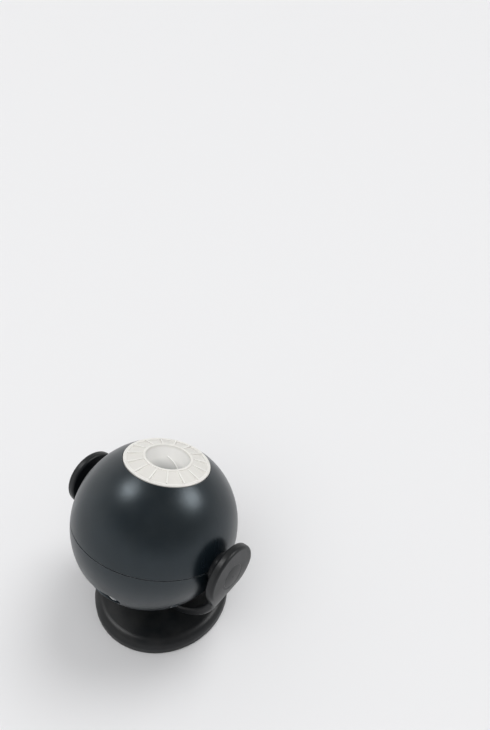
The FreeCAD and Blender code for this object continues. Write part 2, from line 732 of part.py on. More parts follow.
def involute(angle):
    """How far an involute has turned where its pressure angle is this."""
    return math.tan(angle) - angle


def gear_solid(teeth, module, low, high, bore, bearing, half_tooth=False):
    """A spur gear about its own axis, a tooth (or a gap) at the bearing, play taken off the flanks."""
    pressure = math.radians(20)
    pitch = teeth * module / 2
    root = pitch - 1.25 * module
    levels = [max(pitch * math.cos(pressure), root + 0.01 * module), pitch, pitch + 0.9 * module]
    play = d.backlash.value / 4 / pitch
    flank = []
    for radius in levels:
        at = math.acos(min(1.0, pitch * math.cos(pressure) / radius))
        half = math.pi / 2 / teeth + involute(pressure) - involute(at) - play
        flank.append((radius, half))
    flank.insert(0, (root, flank[0][1]))
    corners = []
    step = 2 * math.pi / teeth
    start = math.radians(bearing) + (step / 2 if half_tooth else 0)
    for number in range(teeth):
        middle = start + number * step
        for radius, half in flank:
            corners.append((radius, middle - half))
        for radius, half in reversed(flank):
            corners.append((radius, middle + half))
    points = [FreeCAD.Vector(r * math.cos(turn), r * math.sin(turn), low) for r, turn in corners]
    outline = Part.Wire(Part.makePolygon(points + points[:1]))
    up = FreeCAD.Vector(0, 0, high - low)
    solid = Part.Face(outline).extrude(up)
    if bore:
        solid = solid.cut(Part.makeCylinder(bore, high - low, FreeCAD.Vector(0, 0, low)))
    return solid


def toothed(label, shape, x=ZERO, y=ZERO):
    """A named piece from a gear's shape, about its own axis."""
    thing = doc.addObject("Part::Feature", label + "_shape")
    thing.Shape = shape
    keep(thing, label, BALL + " * " + place_text(x, y))


def tube_solid(inner, outer, low, high):
    """A plain tube as a shape."""
    foot = FreeCAD.Vector(0, 0, low)
    solid = Part.makeCylinder(outer, high - low, foot)
    return solid.cut(Part.makeCylinder(inner, high - low, foot)) if inner else solid


def make_gears():
    """Turntable, two-stage idler and motor pinion, in mesh at rest."""
    toward_idler = 90
    rim = gear_solid(int(d.turntable_teeth.value), d.gear_module.value, rim_low.value, rim_top.value,
                     d.turntable_bore.value, toward_idler)
    neck = tube_solid(d.turntable_bore.value, d.bearing_radius.value - d.run_gap.value,
                      d.chassis_height.value + d.seat_gap.value, rim_low.value)
    toothed("turntable_gear", rim.fuse(neck).removeSplitter())
    bore = d.axle_radius.value + d.run_gap.value
    small = gear_solid(int(d.idler_small_teeth.value), d.gear_module.value, rim_low.value, fine_low.value,
                       bore, toward_idler + 180, half_tooth=True)
    big = gear_solid(int(d.idler_big_teeth.value), d.fine_module.value, fine_low.value, fine_top.value,
                     bore, d.motor_bearing.value)
    toothed("idler_gear", small.fuse(big).removeSplitter(), *idler_spot)
    pinion = gear_solid(int(d.pinion_teeth.value), d.fine_module.value, fine_low.value, fine_top.value,
                        None, d.motor_bearing.value + 180, half_tooth=True)
    shaft = tube_solid(None, d.shaft_radius.value,
                       (d.chassis_height - d.bracket_depth / 2 + d.seat_gap).value, fine_low.value)
    toothed("motor_pinion", pinion.fuse(shaft).removeSplitter(), *motor_spot)


def make_disc_drive():
    """Star disc with its clip ring, idler axle, motor and the motor's bracket."""
    keep(rod(d.disc_radius, d.disc_thickness), "star_disc", BALL + " * " + place_text(z=rim_top))
    keep(ring("disc_clip", d.turntable_bore, d.disc_radius, disc_top, disc_clip_top), "disc_clip_ring", BALL)
    x, y = idler_spot
    axle = rod(d.axle_radius, fine_top - d.chassis_height, x, y, d.chassis_height)
    button = rod(d.axle_radius * 2, d.clip_thickness, x, y, fine_top + d.seat_gap)
    pin = rod(d.axle_radius, d.seat_gap + d.clip_thickness, x, y, fine_top)
    keep(fuse(axle, pin, button), "idler_axle", BALL)
    x, y = motor_spot
    here = BALL + " * " + place_text(x, y)
    low = d.chassis_height - d.motor_length
    shoulder = d.motor_radius - d.shaft_radius
    bearing = d.shaft_radius + d.run_gap
    pocket = d.chassis_height - d.bracket_depth / 2
    keep(revolve("motor_can", [
        (ZERO, low), (shoulder, low), (d.motor_radius, low + d.shaft_radius),
        (d.motor_radius, d.chassis_height), (bearing, d.chassis_height), (bearing, pocket), (ZERO, pocket),
    ]), "drive_motor", here)
    wall = d.motor_radius + d.bracket_wall
    keep(revolve("motor_cup", [
        (d.motor_radius, d.chassis_height - d.bracket_depth), (wall, d.chassis_height - d.bracket_depth),
        (wall, d.chassis_height - d.bracket_wall), (wall + d.bracket_wall, d.chassis_height - d.bracket_wall),
        (wall + d.bracket_wall, d.chassis_height), (d.motor_radius, d.chassis_height),
    ]), "motor_bracket", here)


def make_lamp():
    """Condenser holder and lens, lamp board with its chip, and the finned heat sink."""
    wall = d.lamp_bore + d.lamp_wall
    rim = wall + d.lamp_flange
    seat = d.chassis_height - d.condenser_seat
    lip = d.lamp_bore - d.lamp_wall / 2
    flange_low = d.chassis_height - d.lamp_wall
    keep(revolve("holder", [
        (d.lamp_bore, sink_top), (wall, sink_top), (wall, flange_low), (rim, flange_low),
        (rim, d.chassis_height), (d.lamp_bore, d.chassis_height), (d.lamp_bore, seat), (lip, seat),
        (lip, seat - d.lamp_wall), (d.lamp_bore, seat - d.lamp_wall),
    ]), "condenser_holder", BALL)
    glass = d.lamp_bore - d.run_gap
    edge = seat + d.condenser_edge
    crown = d.condenser_curve - leg_of(d.condenser_curve, glass)
    keep(revolve("condenser_glass", [
        (ZERO, seat), (glass, seat), (glass, edge), Bend(d.condenser_curve), (ZERO, edge + crown),
    ]), "condenser_lens", BALL)
    keep(rod(d.led_board_radius, d.board_thickness), "led_board", BALL + " * " + place_text(z=sink_top))
    keep(group(block(d.led_side, d.led_side, d.led_height, z=sink_top + d.board_thickness)), "led_chip", BALL)
    plate_low = sink_top - d.sink_base
    fin_low = tray_top + d.tray_wall + d.fin_air
    fin_height = plate_low - fin_low
    room = rod(d.sink_radius, fin_height, z=fin_low)
    fins = [block(d.fin_thickness, d.sink_radius * 2, fin_height, x=d.fin_pitch * step, z=fin_low)
            for step in range(-3, 4)]
    plate = rod(d.sink_radius, d.sink_base, z=plate_low)
    keep(fuse(plate, overlap(room, fuse(*fins))), "heat_sink", BALL)


def make_batteries():
    """Battery tray on the collar, three cells side by side, and their contacts."""
    length = d.cell_length + d.cell_nub_height + d.contact_thickness * 3 + d.seat_gap
    width = d.cell_pitch * 2 + d.cell_radius * 2 + d.seat_gap * 3
    height = tray_top - well_top
    walls = block(length + d.tray_wall * 2, width + d.tray_wall * 2, height + d.tray_wall, z=well_top)
    flange = rod(d.battery_radius + d.well_wall, d.tray_wall, z=well_top)
    keep(cut(fuse(walls, flange), block(length, width, height, z=well_top)), "battery_tray", BALL)
    cells = []
    contacts = []
    half = (d.cell_length + d.cell_nub_height) / 2
    side = length / 2 - d.contact_thickness / 2
    for step, forward in ((-1, True), (0, False), (1, True)):
        y = d.cell_pitch * step
        start = -half if forward else -half + d.cell_nub_height
        nub = start + d.cell_length if forward else -half
        can = rod(d.cell_radius, d.cell_length, start, y, cell_axis, "x")
        cells.append(fuse(can, rod(d.cell_nub, d.cell_nub_height, nub, y, cell_axis, "x")))
        for end in (-1, 1):
            contacts.append(block(d.contact_thickness, d.contact_side, d.contact_side, end * side, y,
                                  cell_axis - d.contact_side / 2))
    keep(group(*cells), "battery_cells", BALL)
    keep(group(*contacts), "battery_contacts", BALL)


def make_battery_cover():
    """Round cover in the bottom of the ball, and its screw."""
    rim = d.battery_radius - d.seat_gap
    cap = revolve("cap", [
        (ZERO, -d.ball_radius), Bend(d.ball_radius), (rim, -leg_of(d.ball_radius, rim)),
        (rim, -leg_of(inner_radius, rim)), Bend(inner_radius, False), (ZERO, -inner_radius),
    ])
    x, y = cover_boss_spot
    head_z = -leg_of(inner_radius, cover_boss_circle) - d.shell_wall / 2
    recess = rod(d.screw_head + d.seat_gap, d.ball_radius, x, y, head_z - d.ball_radius)
    hole = rod(screw_hole, d.ball_radius, x, y, head_z)
    keep(cut(cap, recess, hole), "battery_cover", BALL)
    keep(screw(head_z, d.screw_bite, x, y), "battery_cover_screw", BALL)


def make_panel():
    """Button panel in its window, with the posts that carry the control board."""
    body = new_body("panel")
    flange_low = panel_face - d.panel_depth - d.panel_flange
    margin = d.panel_margin * 2
    pad(body, "XY_Plane", [slot_outline(d.panel_length + margin, d.panel_height + margin)],
        d.panel_flange, lift=flange_low)
    play = d.seat_gap * 2
    pad(body, "XY_Plane", [slot_outline(d.panel_length - play, d.panel_height - play)],
        d.panel_depth, lift=flange_low + d.panel_flange)
    posts = [rod(d.control_post, flange_low - board_face, control_post_x * side, ZERO, board_face)
             for side in (-1, 1)]
    hole = d.button_radius + d.seat_gap
    holes = [rod(hole, panel_face - flange_low, d.button_pitch * step, ZERO, flange_low)
             for step in (-1, 0, 1)]
    keep(cut(fuse(body, *posts), *holes), "button_panel", FRONT)


def make_buttons():
    """Three push buttons, held in by a flange behind the panel."""
    flange_high = switch_face - d.run_gap
    flange_low = flange_high - d.button_flange
    top = panel_face + d.button_proud
    crown = (d.button_radius * d.button_radius + d.button_dome * d.button_dome) / (2 * d.button_dome)
    for name, step in (("power_button", -1), ("rotation_button", 0), ("timer_button", 1)):
        body = revolve(name + "_body", [
            (ZERO, flange_low - d.stem_length), (d.stem_radius, flange_low - d.stem_length),
            (d.stem_radius, flange_low), (d.button_radius + d.button_flange, flange_low),
            (d.button_radius + d.button_flange, flange_high), (d.button_radius, flange_high),
            (d.button_radius, top - d.button_dome), Bend(crown), (ZERO, top),
        ])
        keep(body, name, FRONT + " * " + place_text(d.button_pitch * step))


def make_control_board():
    """Board behind the panel, with a switch under each button."""
    low = board_face - d.board_thickness
    length = (control_post_x + d.control_post + d.control_edge) * 2
    board = block(length, d.control_height, d.board_thickness, z=low)
    keep(group(board), "control_board", FRONT)
    switches = [block(d.switch_side, d.switch_side, d.switch_height, d.button_pitch * step, ZERO, board_face)
                for step in (-1, 0, 1)]
    keep(group(*switches), "tact_switches", FRONT)


def make_pivots():
    """Hub, shoulder screw, friction washer and cap of each tilt pivot."""
    flange_out = d.hub_radius + d.hub_flange
    flange_high = leg_of(inner_radius, flange_out) - d.seat_gap
    thread = d.thread_radius + d.run_gap
    thread_low = hub_face - d.thread_length
    recess_floor = fork_outer - d.cap_recess
    head_low = recess_floor + d.run_gap
    head_high = head_low + d.pivot_head_height
    cap_low = fork_outer - d.cap_thickness
    cap_rim = d.cap_radius - d.run_gap
    screws = []
    for side, angle in SIDES.items():
        outward = place_text(axis="y", angle=angle)
        hub = revolve("hub_" + side, [
            (ZERO, flange_high - d.hub_flange), (flange_out, flange_high - d.hub_flange),
            (flange_out, flange_high), (d.hub_radius, flange_high), (d.hub_radius, hub_face),
            (thread, hub_face), (thread, thread_low - d.seat_gap), (ZERO, thread_low - d.seat_gap),
        ])
        keep(hub, "pivot_hub_" + side, BALL + " * " + outward)
        bolt = revolve("bolt_" + side, [
            (ZERO, thread_low), (d.thread_radius, thread_low), (d.thread_radius, hub_face),
            (d.shoulder_radius, hub_face), (d.shoulder_radius, head_low), (d.pivot_head, head_low),
            (d.pivot_head, head_high), (ZERO, head_high),
        ])
        bolt.setExpression("Placement", outward)
        screws.append(bolt)
        arm = place_text(z=pivot_height, axis="y", angle=angle)
        washer = ring("washer_" + side, d.shoulder_radius + d.seat_gap, d.washer_radius,
                      hub_face + d.run_gap, pivot_pad_face)
        keep(washer, "friction_washer_" + side, arm)
        cap = revolve("cap_" + side, [
            (ZERO, cap_low), (cap_rim, cap_low), (cap_rim, fork_outer),
            Bend((cap_rim * cap_rim + d.cap_dome * d.cap_dome) / (2 * d.cap_dome)),
            (ZERO, fork_outer + d.cap_dome),
        ])
        keep(cap, "pivot_cap_" + side, arm)
    keep(group(*screws), "pivot_screws", BALL)


def outline_edges(shape):
    """Names of the edges along the fork's outline, not those across its width or its thickness."""
    names = []
    for number, edge in enumerate(shape.Edges, start=1):
        first, last = edge.ParameterRange
        along = edge.tangentAt((first + last) / 2)
        if max(abs(along.x), abs(along.y)) < 0.95:
            names.append("Edge%d" % number)
    return names


def make_yoke():
    """Fork that holds the ball: a half-round band with round ends, on a round foot."""
    outer = fork_outer
    middle = pivot_height
    end = middle + d.arm_end_radius * 2
    body = new_body("fork")
    pad(body, "XZ_Plane", [[
        (-outer, end), (-outer, middle), Bend(outer), (ZERO, middle - outer), Bend(outer), (outer, middle),
        (outer, end), (fork_inner, end), (fork_inner, middle), Bend(fork_inner, False),
        (ZERO, middle - fork_inner), Bend(fork_inner, False), (-fork_inner, middle),
        (-fork_inner, end),
    ]], d.arm_end_radius * 3, middle=True)
    shoulder = leg_of(d.arm_end_radius, d.arm_shoulder)
    shoulder_z = middle - d.arm_shoulder
    lean, upright = d.arm_shoulder / d.arm_end_radius, shoulder / d.arm_end_radius
    waist_z = shoulder_z - (shoulder - d.arm_half_width) * upright / lean
    sweep = d.arm_sweep * lean / (1 + upright)
    taper_end = (d.arm_half_width + sweep * lean, waist_z + sweep * upright)
    sweep_end = (d.arm_half_width, waist_z - sweep)
    wide = d.arm_end_radius * 2
    low = d.base_height - d.foot_height
    trim = body.newObject("PartDesign::Pocket", "fork_sides")
    trim.Profile = sketch_on(body, "YZ_Plane", [
        [(-wide, low), (wide, low), (wide, end + wide), (-wide, end + wide)],
        [(d.arm_half_width, d.base_height - d.seam_half), sweep_end, Bend(d.arm_sweep, False), taper_end,
         (shoulder, shoulder_z), Bend(d.arm_end_radius), (ZERO, middle + d.arm_end_radius),
         Bend(d.arm_end_radius), (-shoulder, shoulder_z), (-taper_end[0], taper_end[1]),
         Bend(d.arm_sweep, False), (-sweep_end[0], sweep_end[1]),
         (-d.arm_half_width, d.base_height - d.seam_half)],
    ])
    trim.SideType = "Symmetric"
    tie(trim, "Length", outer * 3)
    doc.recompute()
    rounded = body.newObject("PartDesign::Fillet", "fork_rounding")
    rounded.Base = (trim, outline_edges(trim.Shape))
    tie(rounded, "Radius", d.fork_round)
    foot = rod(d.foot_radius, d.foot_height, z=d.base_height)
    pads = [rod(pivot_pad_radius, outer - pivot_pad_face, x=start, z=middle, axis="x")
            for start in (pivot_pad_face, -outer)]
    bore = rod(d.shoulder_radius + d.run_gap, outer * 3, x=-outer * 3 / 2, z=middle, axis="x")
    recesses = [rod(d.cap_radius, d.cap_recess * 2, x=start, z=middle, axis="x")
                for start in (outer - d.cap_recess, -outer - d.cap_recess)]
    spots = [polar(d.yoke_screw_circle, bearing) for bearing in (90, 210, 330)]
    holes = [rod(screw_hole, d.foot_height - d.seam_half, x, y, d.base_height) for x, y in spots]
    keep(cut(fuse(body, foot, *pads), bore, *recesses, *holes), "yoke")
    screws = [screw(d.base_height - d.base_wall, d.foot_height, x, y) for x, y in spots]
    keep(group(*screws), "yoke_screws")


def base_outline(inset, low):
    """Section of the base inset from its outer face, down to a height: edge, round shoulder, gentle cone."""
    across, along = polar(as_size(1), d.base_slope)
    middle = d.base_radius - d.base_round
    cone_end = middle + d.base_round * along
    edge_top = d.base_height - d.base_round * across - (cone_end - d.foot_radius) * along / across
    radius = d.base_round - inset
    top = d.base_height - inset
    return [
        (ZERO, low), (d.base_radius - inset, low), (d.base_radius - inset, edge_top), Bend(radius),
        (middle + radius * along, edge_top + radius * across), (d.foot_radius, top), (ZERO, top),
    ]


def make_base():
    """Low round base: domed housing, plate, ballast ring, rubber feet and screws."""
    inside = d.base_radius - d.base_wall
    ceiling = d.base_height - d.base_wall
    plate_low = d.foot_stand
    plate_top = plate_low + d.plate_thickness
    dome = cut(revolve("dome", base_outline(ZERO, plate_low)),
               revolve("dome_hollow", base_outline(d.base_wall, ZERO)))
    spots = [polar(d.base_radius - d.base_screw_inset, bearing) for bearing in (0, 90, 180, 270)]
    shafts = [rod(d.base_boss_radius, d.base_height, x, y, plate_top) for x, y in spots]
    bosses = overlap(revolve("dome_core", base_outline(d.base_wall / 2, ZERO)), fuse(*shafts))
    holes = [rod(screw_hole, d.base_screw_bite, x, y, plate_top - d.seam_half) for x, y in spots]
    fork_spots = [polar(d.yoke_screw_circle, bearing) for bearing in (90, 210, 330)]
    holes += [rod(screw_hole, d.base_wall * 2, x, y, ceiling - d.base_wall / 2) for x, y in fork_spots]
    keep(cut(fuse(dome, bosses), *holes), "base_housing")
    pad_spots = [polar(d.base_radius - d.pad_inset, bearing) for bearing in (45, 135, 225, 315)]
    head_z = plate_low + d.pad_recess
    plate = rod(inside - d.seat_gap, d.plate_thickness, z=plate_low)
    recesses = [rod(d.pad_radius + d.run_gap, d.pad_recess, x, y, plate_low) for x, y in pad_spots]
    recesses += [rod(d.screw_head + d.seat_gap, d.pad_recess, x, y, plate_low) for x, y in spots]
    recesses += [rod(screw_hole, d.plate_thickness * 2, x, y, plate_low) for x, y in spots]
    keep(cut(plate, *recesses), "base_plate")
    ballast_outer = d.base_radius - d.ballast_inset
    keep(ring("ballast", d.ballast_inner, ballast_outer, plate_top, plate_top + d.ballast_height),
         "ballast_ring")
    feet = [rod(d.pad_radius, plate_low + d.pad_recess, x, y) for x, y in pad_spots]
    keep(group(*feet), "rubber_feet")
    screws = [screw(head_z, d.base_screw_bite, x, y) for x, y in spots]
    keep(group(*screws), "base_screws")


def finish():
    """Recompute, check every object, and write one file for each named piece."""
    doc.recompute()
    for thing in doc.Objects:
        if "Invalid" in thing.State or "Error" in thing.State:
            raise RuntimeError("%s (%s) failed: %s" % (thing.Name, thing.Label, thing.State))
    for label, thing in nodes.items():
        shape = thing.Shape
        if shape.isNull() or not shape.isValid() or not shape.Solids:
            raise RuntimeError(label + " has no valid solid")
        print("%-24s %2d solids %10.1f mm3" % (label, len(shape.Solids), shape.Volume))
    for label, thing in nodes.items():
        thing.Shape.exportStep("parts/%s.step" % label)
    print(len(nodes), "pieces")


make_upper_shell()
make_lower_shell()
make_shell_screws()
make_focus_ring()
make_focus_ring_clip()
make_lens_hood()
make_lens_barrel()
make_lenses()
make_lens_mount()
make_chassis()
make_gears()
make_disc_drive()
make_lamp()
make_batteries()
make_battery_cover()
make_panel()
make_buttons()
make_control_board()
make_pivots()
make_yoke()
make_base()
finish()
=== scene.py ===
"""Looks of the home planetarium projector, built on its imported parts.

Metres, in the parts' own frame: +Z up, the origin under the middle of the base, on the table.
Bearings are in degrees from +X, counter-clockwise seen from above.
The ball's own frame has its origin at the ball's centre and +Z along the projection axis.
"""

import math

import bmesh
import bpy
import numpy as np
from mathutils import Matrix, Vector


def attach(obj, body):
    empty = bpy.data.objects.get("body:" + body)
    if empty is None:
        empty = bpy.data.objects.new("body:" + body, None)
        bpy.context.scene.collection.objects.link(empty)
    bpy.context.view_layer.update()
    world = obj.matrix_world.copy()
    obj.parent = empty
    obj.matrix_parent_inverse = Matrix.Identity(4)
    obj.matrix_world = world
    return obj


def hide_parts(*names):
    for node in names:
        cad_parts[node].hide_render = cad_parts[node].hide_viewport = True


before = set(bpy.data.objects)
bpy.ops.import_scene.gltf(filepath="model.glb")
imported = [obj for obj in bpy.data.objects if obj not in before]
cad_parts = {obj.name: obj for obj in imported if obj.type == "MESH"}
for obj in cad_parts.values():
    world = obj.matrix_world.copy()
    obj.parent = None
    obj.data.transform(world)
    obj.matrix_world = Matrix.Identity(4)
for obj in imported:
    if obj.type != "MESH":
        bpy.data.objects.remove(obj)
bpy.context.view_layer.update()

MM = 0.001
PIVOT_HEIGHT = 0.108
BALL_LEAN = math.radians(-18)
PANEL_TURN = math.radians(90 + 35)

BOWL_WALL_CENTRE = (-49.81 * MM, 77.16 * MM)
BOWL_WALL_CURVE = 70.0 * MM
RAIL_RADIUS = 0.5 * MM
RAIL_TOP = 58.8 * MM
RAIL_FALL = 10.5 * MM
RAIL_START = 130
RAIL_END = 66
BUTTON_TOP = 72.556 * MM
BUTTON_CROWN = 11.7 * MM
BUTTON_PITCH = 15.0 * MM
SCREW_HEAD = 3.0 * MM
SCREW_HEAD_HEIGHT = 2.0 * MM
SCREW_SHANK = 1.5 * MM
BASE_SCREW_CIRCLE = 54.0 * MM
BASE_SCREW_SEAT = 3.2 * MM
BASE_SCREW_LENGTH = 7.6 * MM
SHELL_SCREW_REACH = 63.0 * MM
SHELL_SCREW_BEARING = 25
SHELL_SCREW_SEAT = -14.0 * MM
SHELL_SCREW_LENGTH = 24.0 * MM
COVER_SCREW_REACH = 33.0 * MM
COVER_SCREW_SEAT = -65.87 * MM
COVER_SCREW_LENGTH = 10.0 * MM
FOOT_RADIUS = 7.0 * MM
FOOT_HEIGHT = 3.2 * MM
FOOT_EDGE = 0.6 * MM
FOOT_TOP_EDGE = 0.2 * MM
FOOT_RIDGE = 0.25 * MM
FOOT_RIDGE_PITCH = 1.7 * MM
FOOT_CIRCLE = 52.0 * MM

BALL_FRAME = Matrix.Translation((0, 0, PIVOT_HEIGHT)) @ Matrix.Rotation(BALL_LEAN, 4, "X")
PANEL_FRAME = BALL_FRAME @ Matrix.Rotation(PANEL_TURN, 4, "X")


# Shapes worked out on grids

def placed(points, place):
    """The points moved by a placement."""
    turn = np.array(place.to_3x3())
    return points @ turn.T + np.array(place.translation)


def grid_faces(rows, columns, closed_rows=False, closed_columns=False):
    """Quads between neighbours of a grid whose points run along each row first."""
    row = np.arange(rows if closed_rows else rows - 1)[:, None]
    column = np.arange(columns if closed_columns else columns - 1)[None, :]
    next_row, next_column = (row + 1) % rows, (column + 1) % columns
    corners = (row * columns + column, next_row * columns + column,
               next_row * columns + next_column, row * columns + next_column)
    return np.stack(corners, axis=-1).reshape(-1, 4)


def stacked(shapes):
    """Several (points, quads) as one."""
    starts = np.cumsum([0] + [len(points) for points, quads in shapes])
    return (np.concatenate([points for points, quads in shapes]),
            np.concatenate([quads + start for (points, quads), start in zip(shapes, starts)]))


def turned(radius, height, columns=64):
    """A profile carried round the Z axis: x = r cos a, y = r sin a. radius may change with the angle."""
    angle = np.linspace(0, 2 * math.pi, columns, endpoint=False)
    radius, height = (np.broadcast_to(np.reshape(v, (len(radius), -1)), (len(radius), columns))
                      for v in (radius, height))
    points = np.stack([radius * np.cos(angle), radius * np.sin(angle), height], axis=-1)
    return points.reshape(-1, 3), grid_faces(len(radius), columns, closed_columns=True)


def carried(path, across, outward, section, closed=False):
    """A section (sideways, outwards) carried along a path: p + s across + o outward.

    An open path's ends are drawn to points.
    """
    side, rise = (section[:, k][None, :, None] for k in (0, 1))
    size = np.ones(len(path))
    if not closed:
        size[[0, -1]] = 0.0
    size = size[:, None, None]
    points = path[:, None] + size * (side * across[:, None] + rise * outward[:, None])
    return points.reshape(-1, 3), grid_faces(len(path), len(section), closed, True)


def new_piece(name, shape, body, material, place=Matrix.Identity(4)):
    """A mesh of points and quads, its doubles merged and its faces turned outwards, which rides on a body."""
    points, faces = shape
    mesh = bpy.data.meshes.new(name)
    mesh.from_pydata(placed(points, place).tolist(), [], faces.tolist())
    work = bmesh.new()
    work.from_mesh(mesh)
    bmesh.ops.remove_doubles(work, verts=work.verts, dist=0.001 * MM)
    bmesh.ops.recalc_face_normals(work, faces=work.faces)
    work.to_mesh(mesh)
    work.free()
    mesh.polygons.foreach_set("use_smooth", np.ones(len(mesh.polygons), bool))
    mesh.materials.append(material)
    piece = bpy.data.objects.new(name, mesh)
    bpy.context.scene.collection.objects.link(piece)
    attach(piece, body)
    return piece


def bowl_radius(height):
    """Radius of the bowl's wall at a height above the ball's centre: an arc about BOWL_WALL_CENTRE."""
    out, up = BOWL_WALL_CENTRE
    return out + np.sqrt(BOWL_WALL_CURVE ** 2 - (height - up) ** 2)


def make_bowl_rail(finish):
    """Low ridge half sunk in the bowl's wall: a round bar that falls evenly as it winds clockwise."""
    way = np.linspace(0, 1, 48)
    bearing = np.radians(RAIL_START + (RAIL_END - RAIL_START) * way)
    height = RAIL_TOP - RAIL_FALL * way
    radius = bowl_radius(height)
    path = np.stack([radius * np.cos(bearing), radius * np.sin(bearing), height], axis=-1)
    along = np.gradient(path, axis=0)
    inward = -path * (1, 1, 0)
    inward /= np.linalg.norm(inward, axis=1)[:, None]
    across = np.cross(along, inward)
    across /= np.linalg.norm(across, axis=1)[:, None]
    turn = np.linspace(0, 2 * math.pi, 12, endpoint=False)
    section = np.stack([np.cos(turn), np.sin(turn)], axis=-1) * RAIL_RADIUS
    new_piece("bowl_rail", carried(path, across, inward, section), "focus_ring", finish,
              BALL_FRAME)


def crosshead_screw(length, columns=96):
    """A screw whose head points down, its seat at height 0 and its thread of a length above.

    The head's face is z = dome (r / R)^2 - h, cut by a cross of two bars that gets shallower outwards,
    and then the outline goes round the head's edge, under it and up the shank to its bevelled tip.
    """
    dome = 0.35 * MM
    half_width, side_slope = 0.38 * MM, 0.14 * MM
    half_length, end_slope = 1.75 * MM, 0.3 * MM
    depth, rise = 1.1 * MM, 0.35
    tip = 0.5 * MM
    angle = np.linspace(0, 2 * math.pi, columns, endpoint=False)[None, :]
    radius = np.linspace(0, 0.93, 22)[:, None] * SCREW_HEAD
    x, y = radius * np.cos(angle), radius * np.sin(angle)
    bars = [np.clip((half_width - abs(a)) / side_slope + 0.5, 0, 1)
            * np.clip((half_length - abs(b)) / end_slope + 0.5, 0, 1) for a, b in ((x, y), (y, x))]
    cross = np.maximum(*bars) * (depth - rise * np.hypot(x, y))
    face = dome * (radius / SCREW_HEAD) ** 2 - SCREW_HEAD_HEIGHT + np.maximum(cross, 0)
    edge = [(0.98, -0.74), (1.0, -0.6), (1.0, 0.0), (0.5, 0.0)]
    rim = [(r * SCREW_HEAD, h * SCREW_HEAD_HEIGHT) for r, h in edge]
    rim += [(SCREW_SHANK, length - tip), (SCREW_SHANK - tip, length), (0.0, length)]
    out, up = np.array(rim).T[:, :, None]
    radii = np.concatenate([np.broadcast_to(radius, face.shape), np.broadcast_to(out, (len(out), columns))])
    heights = np.concatenate([face, np.broadcast_to(up, (len(up), columns))])
    return turned(radii, heights, columns)


def make_screws(finish):
    """Crosshead screws where the plain ones show: under the base, in the ball's recesses, on the cover."""
    base_bearings = (0, 90, 180, 270)
    shell_bearings = [start + sign * SHELL_SCREW_BEARING for start in (0, 180) for sign in (1, -1)]
    sets = (
        ("base_screws", base_bearings, BASE_SCREW_CIRCLE, BASE_SCREW_SEAT, BASE_SCREW_LENGTH,
         "stand", Matrix.Identity(4)),
        ("shell_screws", shell_bearings, SHELL_SCREW_REACH, SHELL_SCREW_SEAT, SHELL_SCREW_LENGTH,
         "ball", BALL_FRAME),
        ("battery_cover_screw", (90,), COVER_SCREW_REACH, COVER_SCREW_SEAT, COVER_SCREW_LENGTH,
         "ball", BALL_FRAME),
    )
    for node, bearings, reach, seat, length, body, place in sets:
        points, quads = crosshead_screw(length)
        copies = [(points + (reach * math.cos(turn), reach * math.sin(turn), seat), quads)
                  for turn in map(math.radians, bearings)]
        piece = new_piece("crosshead_" + node, stacked(copies), body, finish, place)
        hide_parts(node)


def make_ridged_feet(finish):
    """Rubber feet with round ridges underneath: z = ridge (1 - cos(2 pi r / pitch)), and a rounded edge."""
    flat = np.linspace(0, FOOT_RADIUS - FOOT_EDGE, 60)
    under = FOOT_RIDGE * (1 - np.cos(2 * math.pi * flat / FOOT_RIDGE_PITCH))
    bend = np.linspace(0, math.pi / 2, 7)[1:]
    round_out = flat[-1] + FOOT_EDGE * np.sin(bend)
    round_up = FOOT_EDGE * (1 - np.cos(bend)) + under[-1] * np.cos(bend)
    top_out = [FOOT_RADIUS, FOOT_RADIUS - FOOT_TOP_EDGE, 0.0]
    top_up = [FOOT_HEIGHT - FOOT_TOP_EDGE, FOOT_HEIGHT, FOOT_HEIGHT]
    radius = np.concatenate([flat, round_out, top_out])
    height = np.concatenate([under, round_up, top_up])
    points, quads = turned(radius, height)
    spots = [math.radians(bearing) for bearing in (45, 135, 225, 315)]
    copies = [(points + (FOOT_CIRCLE * math.cos(turn), FOOT_CIRCLE * math.sin(turn), 0), quads)
              for turn in spots]
    piece = new_piece("ridged_feet", stacked(copies), "stand", finish)
    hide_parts("rubber_feet")


def sign_line(path, closed=False):
    """A raised painted line on a button's crown: a flat section along a path (x, y), partly sunk in it."""
    foot, top, sunk, shoulder, raised = (size * MM for size in (0.27, 0.2, -0.1, 0.06, 0.12))
    along = np.gradient(path, axis=0)
    if closed:
        along = np.roll(path, -1, axis=0) - np.roll(path, 1, axis=0)
    along /= np.linalg.norm(along, axis=1)[:, None]
    crown = BUTTON_TOP - BUTTON_CROWN + np.sqrt(BUTTON_CROWN ** 2 - (path ** 2).sum(axis=1))
    flat = np.zeros(len(path))
    line = np.column_stack([path, crown])
    across = np.column_stack([along[:, 1], -along[:, 0], flat])
    outward = np.column_stack([flat, flat, flat + 1.0])
    section = np.array([(-foot, sunk), (foot, sunk), (foot, shoulder), (top, raised), (-top, raised),
                        (-foot, shoulder)])
    return carried(line, across, outward, section, closed)


def arc_path(radius, start, end, count=40):
    """Points of an arc about the origin, its bearings in degrees."""
    bearing = np.radians(np.linspace(start, end, count))
    return np.stack([np.cos(bearing), np.sin(bearing)], axis=-1) * radius * MM


def line_path(*corners):
    """Points along straight lines between corners in millimetres."""
    way = np.linspace(0, len(corners) - 1, 8 * (len(corners) - 1) + 1)
    spots = np.arange(len(corners))
    return np.stack([np.interp(way, spots, [corner[k] for corner in corners]) for k in (0, 1)], axis=-1) * MM


